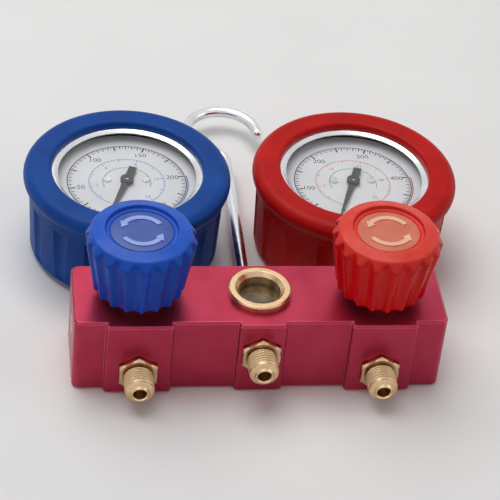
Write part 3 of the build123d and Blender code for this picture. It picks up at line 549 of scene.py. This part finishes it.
def arrow(mesh, place, start):
    """Raised arc with an arrow head, standing on the xy plane of place."""
    half = MARK_WIDTH / 2
    inner, outer = MARK_RADIUS - half, MARK_RADIUS + half
    end = start + MARK_SWEEP
    turns = [MARK_SWEEP * step / MARK_STEPS for step in range(MARK_STEPS + 1)]
    outline = [(outer, start + turn) for turn in turns]
    outline += [(outer + half, end), (MARK_RADIUS, end + MARK_HEAD_SWEEP), (inner - half, end)]
    outline += [(inner, end - turn) for turn in turns]
    flat = [polar(reach, turn) for reach, turn in outline]
    foot = [mesh.verts.new(place @ point) for point in flat]
    crown = [mesh.verts.new(place @ (point + Vector((0, 0, MARK_RISE)))) for point in flat]
    skin(mesh, [foot, crown])


# ---- Hose ports

PORT_LENGTH = 12.0 * MM
PORT_HEX_LENGTH = 2.0 * MM
PORT_HEX_FLATS = 14.0 * MM
PORT_HEX_CHAMFER = 0.6 * MM
PORT_HEX_SIDES = 60
PORT_BORE_RADIUS = 2.4 * MM
PORT_BORE_DEPTH = 9.5 * MM
PORT_BORE_CHAMFER = 0.4 * MM
PORT_NOSE_RADIUS = 3.6 * MM
THREAD_START = 1.8 * MM  # from the nose
THREAD_RELIEF = 0.2 * MM  # from the thread to the hexagon
THREAD_PITCH = 1.27 * MM
THREAD_DEPTH = 0.62 * MM
THREAD_FLANK = 2.6  # how steeply a turn rises
THREAD_VALLEY = 0.12  # how flat its root is
THREAD_RUN_OUT = 0.6  # pitches over which it ends at the hexagon
THREAD_SIDES = 72
THREAD_STEPS = 10


def thread_radius(port):
    """Thread radius of a hose port, from the record's mount on it."""
    mounts = {mount["name"]: mount for mount in frame["record"]["mounts"]}
    return mounts[f"{port}_thread"]["dims"]["r_mm"] * MM


def make_port(name, finishes):
    """Flare port: a chamfered hexagon, a coarse screw thread, and a nose round its bore."""
    centre, front = middle(name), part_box(name)[0].y
    outwards = Euler((-math.pi / 2, 0, 0)).to_matrix().to_4x4()
    place = Matrix.Translation((centre.x, front, centre.z)) @ outwards
    bore, nose, crest = PORT_BORE_RADIUS, PORT_NOSE_RADIUS, thread_radius(name)
    root = crest - THREAD_DEPTH
    hex_start = PORT_LENGTH - PORT_HEX_LENGTH
    thread_end = hex_start - THREAD_RELIEF

    def threaded(distance, height, angle):
        if not THREAD_START <= height <= thread_end or distance < root:
            return distance
        turn = (height / THREAD_PITCH - angle / math.tau) % 1
        rise = max(0.0, min(1.0, THREAD_FLANK * min(turn, 1 - turn) - THREAD_VALLEY))
        from_start = (height - THREAD_START) / THREAD_PITCH
        to_end = (thread_end - height) / (THREAD_RUN_OUT * THREAD_PITCH)
        fade = min(1.0, from_start, to_end)
        return root + (distance - root) * (rise * fade + 0.5 * (1 - fade))

    steps = int((thread_end - THREAD_START) / THREAD_PITCH * THREAD_STEPS)
    profile = [
        (bore - PORT_BORE_CHAMFER, PORT_BORE_DEPTH),
        (bore, PORT_BORE_DEPTH - 0.5 * MM),
        (bore, 0.5 * MM),
        (bore + PORT_BORE_CHAMFER, 0.0),
        (nose - 0.5 * MM, 0.0),
        (nose, 0.9 * MM),
        (root - 0.3 * MM, 1.3 * MM),
        *line_points((crest, THREAD_START), (crest, thread_end), steps),
        (crest, thread_end),
        (root, thread_end + 0.05 * MM),
        (root, hex_start + 0.1 * MM),
    ]
    mesh = bmesh.new()
    turned(mesh, place, profile, THREAD_SIDES, threaded)
    hexagon(mesh, place, hex_start, PORT_LENGTH + 0.1 * MM)
    made = piece(f"{name}_fitting", mesh, finishes["brass"], "manifold", crease=28)
    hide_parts(name)


def hexagon(mesh, place, start, end):
    """Hexagonal nut with its corners turned off at both ends."""
    flat_reach, corner_reach = PORT_HEX_FLATS / 2, PORT_HEX_FLATS / math.sqrt(3)
    sixth = math.pi / 3

    def six(distance, height, angle):
        return min(distance, flat_reach / math.cos((angle + sixth / 2) % sixth - sixth / 2))

    profile = [
        (flat_reach - 0.6 * MM, start),
        (flat_reach - 0.1 * MM, start),
        (corner_reach, start + PORT_HEX_CHAMFER),
        (corner_reach, end - PORT_HEX_CHAMFER),
        (flat_reach - 0.1 * MM, end),
        (flat_reach - 0.6 * MM, end),
    ]
    turned(mesh, place, profile, PORT_HEX_SIDES, six)


# ---- Printed dials

SCALE_START = 250  # degrees, of the zero
SCALE_SWEEP = 300
SCALE_RADIUS = 23.4 * MM
INNER_RADIUS = 14.9 * MM
ARC_RADIUS = 9.4 * MM
ARC_ENDS = (200, -20)
BAND_INNER, BAND_OUTER = SCALE_RADIUS + 0.4 * MM, SCALE_RADIUS + 0.9 * MM
GREEN_BAND_SWEEP = 40  # from the zero
COLOURED_BAND_START = 240  # to the end of the scale
VACUUM_SWEEP = 25
PRINT_LIFT = 0.03 * MM
# Of the outer and inner scales: how many ticks, their length, their width, and which stay out.
OUTER_TICKS = ((100, 1.3 * MM, 0.28 * MM, 2), (50, 1.9 * MM, 0.42 * MM, 5), (10, 2.8 * MM, 0.70 * MM, 0))
INNER_TICKS = ((50, 0.8 * MM, 0.16 * MM, 5), (10, 1.4 * MM, 0.28 * MM, 0))
NUMBERS = 5
DIALS = {
    "low": {"step": 50, "inner_step": 3, "vacuum": VACUUM_SWEEP},
    "high": {"step": 100, "inner_step": 7, "vacuum": 0},
}


def ring_part(mesh, place, inner, outer, start, end):
    """Flat part of a ring between two angles in degrees."""
    count = max(2, int(abs(end - start) / 3) + 1)
    rows = []
    for step in range(count + 1):
        way = polar(1, start + (end - start) * step / count)
        rows.append([mesh.verts.new(place @ (way * reach)) for reach in (inner, outer)])
    for before, after in zip(rows, rows[1:]):
        mesh.faces.new((before[0], before[1], after[1], after[0]))


def ring_line(mesh, place, reach, half, start, end):
    """Thin line round the dial, half a width each side of its radius."""
    ring_part(mesh, place, reach - half, reach + half, start, end)


def scale_angle(mark, count):
    """Angle in degrees of a mark, clockwise from the zero, where count of them make the whole scale."""
    return SCALE_START - SCALE_SWEEP * mark / count


def ticks(mesh, place, outer, rows):
    """Radial marks in from a radius; of each row every skip-th one is left out."""
    for count, length, width, skip in rows:
        for index in range(count + 1):
            if skip and index % skip == 0:
                continue
            way = polar(1, scale_angle(index, count))
            across = Vector((-way.y, way.x, 0)) * (width / 2)
            near, far = way * (outer - length), way * outer
            corners = [near - across, far - across, far + across, near + across]
            mesh.faces.new([mesh.verts.new(place @ corner) for corner in corners])


def number(mesh, place, text, reach, angle, height):
    """A number, upright as the dial is read, centred at reach and angle."""
    curve = bpy.data.curves.new("number", "FONT")
    curve.body = text
    curve.size = height
    curve.align_x, curve.align_y = "CENTER", "CENTER"
    curve.resolution_u = 3
    holder = bpy.data.objects.new("number", curve)
    bpy.context.scene.collection.objects.link(holder)
    bpy.context.view_layer.update()
    shape = bpy.data.meshes.new_from_object(holder)
    shape.transform(place @ Matrix.Translation(polar(1, angle) * reach))
    mesh.from_mesh(shape)
    bpy.data.objects.remove(holder)
    bpy.data.curves.remove(curve)
    bpy.data.meshes.remove(shape)


def numbers(mesh, place, step, first, reach, height):
    """Numbers at every fifth of the scale, from the first one on."""
    for index in range(first, NUMBERS + 1):
        number(mesh, place, str(step * index), reach, scale_angle(index, NUMBERS), height)


def make_dial_print(side, finishes):
    """Print of one gauge: black pressure scale outside, coloured scale inside, coloured bands and an arc."""
    centre, dial = middle(f"{side}_dial"), DIALS[side]
    place = Matrix.Translation((centre.x, centre.y, top(f"{side}_dial") + PRINT_LIFT))
    end = SCALE_START - SCALE_SWEEP

    black = bmesh.new()
    ring_line(black, place, SCALE_RADIUS, 0.2 * MM, SCALE_START + dial["vacuum"], end)
    ticks(black, place, SCALE_RADIUS, OUTER_TICKS)
    numbers(black, place, dial["step"], 0, SCALE_RADIUS - 5.0 * MM, 3.4 * MM)
    piece(f"{side}_dial_scale", black, finishes["black_ink"], "manifold")

    coloured = bmesh.new()
    ring_line(coloured, place, INNER_RADIUS, 0.1 * MM, SCALE_START, end)
    ticks(coloured, place, INNER_RADIUS, INNER_TICKS)
    numbers(coloured, place, dial["inner_step"], 1, INNER_RADIUS - 3.0 * MM, 2.2 * MM)
    ring_part(coloured, place, BAND_INNER, BAND_OUTER, SCALE_START - COLOURED_BAND_START, end)
    ink = finishes[f"{HUES[side]}_ink"]
    piece(f"{side}_dial_inner_scale", coloured, ink, "manifold")

    green = bmesh.new()
    ring_part(green, place, BAND_INNER, BAND_OUTER, SCALE_START, SCALE_START - GREEN_BAND_SWEEP)
    ring_line(green, place, ARC_RADIUS, 0.15 * MM, *ARC_ENDS)
    piece(f"{side}_dial_arc", green, finishes["green_ink"], "manifold")


# ---- Studio

CAMERA_PLACE = Vector((-0.108, -0.586, 0.537))
AIM = Vector((0.0, 0.030, 0.028))
LENS_MM = 152
FLOOR_HALF = 4.0
FLOOR_GAP = 0.1 * MM
WORLD_LIGHT = 0.27  # what the surroundings give as light
WORLD_SEEN = 0.80  # what they look like
BACKDROP_TONE = (0.95, 0.95, 0.96, 1)
PALE_FROM, PALE_TO = 0.30, 1.10  # distances over which the floor passes into the backdrop


def make_camera():
    """Camera above the low side's front, turned so that the block's long edges lie level."""
    forward = (AIM - CAMERA_PLACE).normalized()
    upward = Vector((1, 0, 0)).cross(forward).normalized()
    sideways = forward.cross(upward)
    camera = bpy.data.objects.new("camera", bpy.data.cameras.new("camera"))
    camera.data.lens = LENS_MM
    turned_to = Matrix((sideways, upward, -forward)).transposed()
    camera.matrix_world = Matrix.Translation(CAMERA_PLACE) @ turned_to.to_4x4()
    bpy.context.scene.collection.objects.link(camera)
    bpy.context.scene.camera = camera


def make_lamp(name, place, size, watts, tone):
    """Soft square lamp that points at the object."""
    light = bpy.data.lights.new(name, "AREA")
    light.size = size
    light.energy = watts
    light.color = tone
    lamp = bpy.data.objects.new(name, light)
    lamp.location = place
    lamp.rotation_euler = (AIM - Vector(place)).to_track_quat("-Z", "Y").to_euler()
    bpy.context.scene.collection.objects.link(lamp)


def seen_rays(nodes, links):
    """1 for the rays that show the surroundings: the camera's, and those off metal and through glass."""
    path = nodes.new("ShaderNodeLightPath")
    seen = path.outputs["Is Camera Ray"]
    for ray in ("Is Glossy Ray", "Is Transmission Ray"):
        either = nodes.new("ShaderNodeMath")
        either.operation = "MAXIMUM"
        links.new(seen, either.inputs[0])
        links.new(path.outputs[ray], either.inputs[1])
        seen = either.outputs[0]
    return seen


def make_world():
    """Even pale surroundings, white where the camera sees them directly or in glass and metal."""
    world = bpy.data.worlds.new("studio")
    bpy.context.scene.world = world
    world.use_nodes = True
    nodes, links = world.node_tree.nodes, world.node_tree.links
    strength = nodes.new("ShaderNodeMapRange")
    strength.inputs["To Min"].default_value = WORLD_LIGHT
    strength.inputs["To Max"].default_value = WORLD_SEEN
    links.new(seen_rays(nodes, links), strength.inputs["Value"])
    sky = nodes["Background"]
    sky.inputs["Color"].default_value = BACKDROP_TONE
    links.new(strength.outputs["Result"], sky.inputs["Strength"])


def make_floor():
    """Wide pale sheet under the object."""
    finish = Finish("studio_floor", Specular_IOR_Level=0.2)
    grain = finish.noise(60 * MM, 3)
    tone = finish.blend(finish.spread(grain, 0, 1), (0.86, 0.86, 0.86), (0.89, 0.89, 0.89))
    finish.feed(Base_Color=tone, Roughness=finish.spread(grain, 0.75, 0.85))
    reach = finish.add("ShaderNodeVectorMath", {0: finish.place}, operation="LENGTH").outputs["Value"]
    far = finish.spread(reach, 0.0, 1.0, PALE_FROM, PALE_TO)
    seen = seen_rays(finish.nodes, finish.links)
    share = finish.add("ShaderNodeMath", {0: far, 1: seen}, operation="MULTIPLY").outputs[0]
    glow = finish.add("ShaderNodeEmission", {"Color": BACKDROP_TONE, "Strength": WORLD_SEEN}).outputs[0]
    mixed = finish.add("ShaderNodeMixShader", {0: share, 1: finish.shader.outputs[0], 2: glow})
    finish.links.new(mixed.outputs[0], finish.nodes["Material Output"].inputs["Surface"])
    mesh = bmesh.new()
    bmesh.ops.create_grid(mesh, x_segments=2, y_segments=2, size=FLOOR_HALF)
    data = bpy.data.meshes.new("floor")
    mesh.to_mesh(data)
    mesh.free()
    data.materials.append(finish.material)
    floor = bpy.data.objects.new("floor", data)
    floor.location.z = cad_low.z - FLOOR_GAP
    bpy.context.scene.collection.objects.link(floor)


def make_studio():
    """Camera, floor, surroundings and lamps."""
    bpy.context.scene.view_settings.view_transform = "Standard"
    make_camera()
    make_floor()
    make_world()
    make_lamp("key", (-0.25, 0.42, 1.25), 1.1, 12.0, (1.0, 0.99, 0.97))
    make_lamp("fill", (-0.9, -0.8, 0.9), 1.0, 1.0, (0.97, 0.98, 1.0))
    make_lamp("side", (1.1, -0.1, 0.7), 0.6, 1.2, (1.0, 1.0, 1.0))


finishes = make_finishes()
finish_frame_nodes(finishes)
for side in SIDES:
    make_knob(side, finishes)
    make_dial_print(side, finishes)
for port in ("low_port", "charge_port", "high_port"):
    make_port(port, finishes)
make_studio()
